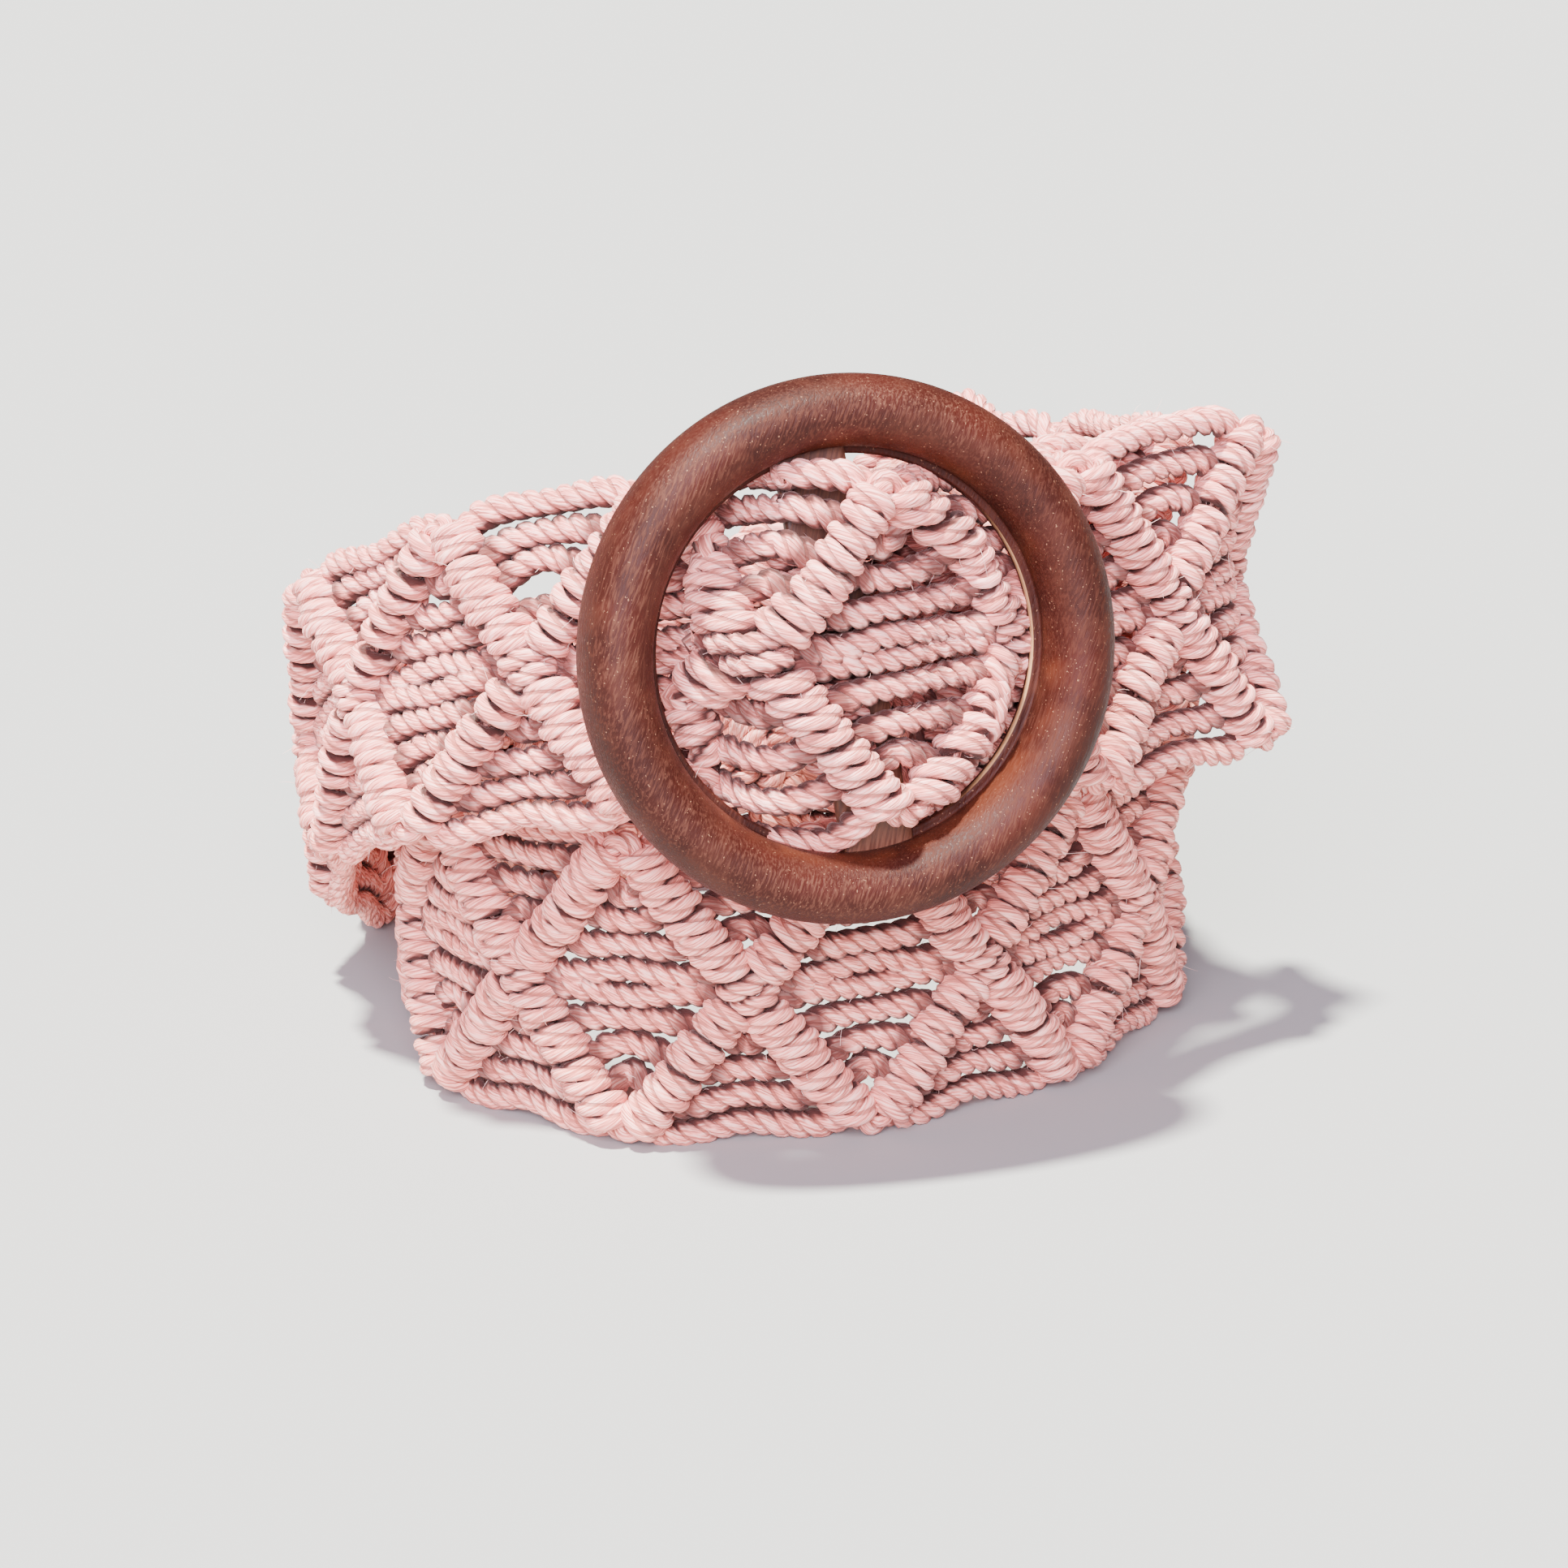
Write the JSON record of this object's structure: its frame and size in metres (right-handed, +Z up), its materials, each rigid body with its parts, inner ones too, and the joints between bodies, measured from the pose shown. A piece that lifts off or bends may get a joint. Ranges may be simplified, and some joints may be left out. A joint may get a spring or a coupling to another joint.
{
  "type": "knotted cord belt",
  "caption": "Flat belt of knotted cotton cords with X shaped ribs and a round wooden slide buckle, fastened and doubled into two turns.",
  "frame": {"origin": "middle of the bounding box's bottom face, on the surface that the belt stands on", "axes": "+Z up, -Y towards the buckle's front, +X to the right as seen from the buckle's front"},
  "size_m": [0.1758, 0.192, 0.137],
  "materials": {
    "cotton_cord": "matte three-ply cotton",
    "ring_wood": "dark stained, satin lacquer",
    "bar_wood": "stained, dull"
  },
  "bodies": {
    "root": {"belt_band": "cotton_cord", "buckle_ring": "ring_wood", "buckle_bar": "bar_wood"}
  },
  "joints": []
}
